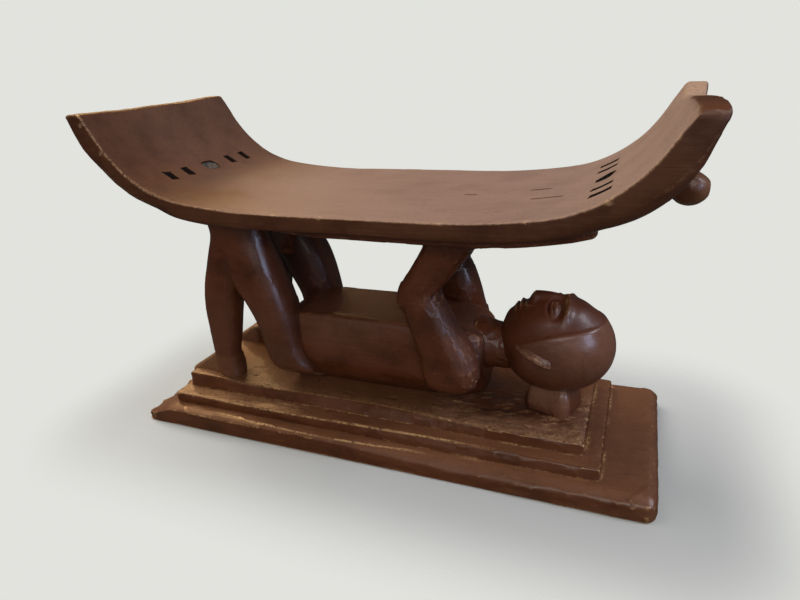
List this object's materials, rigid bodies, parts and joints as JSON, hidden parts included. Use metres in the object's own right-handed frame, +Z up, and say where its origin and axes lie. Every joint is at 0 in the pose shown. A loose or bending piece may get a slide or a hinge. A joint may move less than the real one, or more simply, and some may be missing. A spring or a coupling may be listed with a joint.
{
  "type": "carved figure stool",
  "caption": "Carved wooden stool: a reclining figure on a stepped base holds up a long seat whose ends curve upwards.",
  "frame": {"origin": "on the floor, on the underside of the base, below the middle of the seat", "axes": "+X along the stool towards the figure's head, +Y across it towards the figure's right, +Z up"},
  "size_m": [0.6045, 0.232, 0.368],
  "materials": {
    "seat": "dark reddish brown stain, waxed, dulled by handling",
    "figure": "very dark reddish brown stain, satin wax polish",
    "base": "dark red brown stain, waxed, chisel marks and worn edges",
    "plug": "dark grey, matt"
  },
  "bodies": {
    "root": {"plinth": "base", "middle_step": "base", "top_step": "base", "pillow": "base", "seat": "seat", "underseat_pad": "seat", "grip_lug": "seat", "foot_end_plug": "plug", "hips": "figure", "chest": "figure", "head": "figure", "neck": "figure", "knee_web": "figure", "left_thigh": "figure", "left_shin": "figure", "left_foot": "figure", "left_upper_arm": "figure", "left_forearm": "figure", "left_hand": "figure", "left_ear": "figure", "right_thigh": "figure", "right_shin": "figure", "right_foot": "figure", "right_upper_arm": "figure", "right_forearm": "figure", "right_hand": "figure", "right_ear": "figure"}
  },
  "joints": []
}
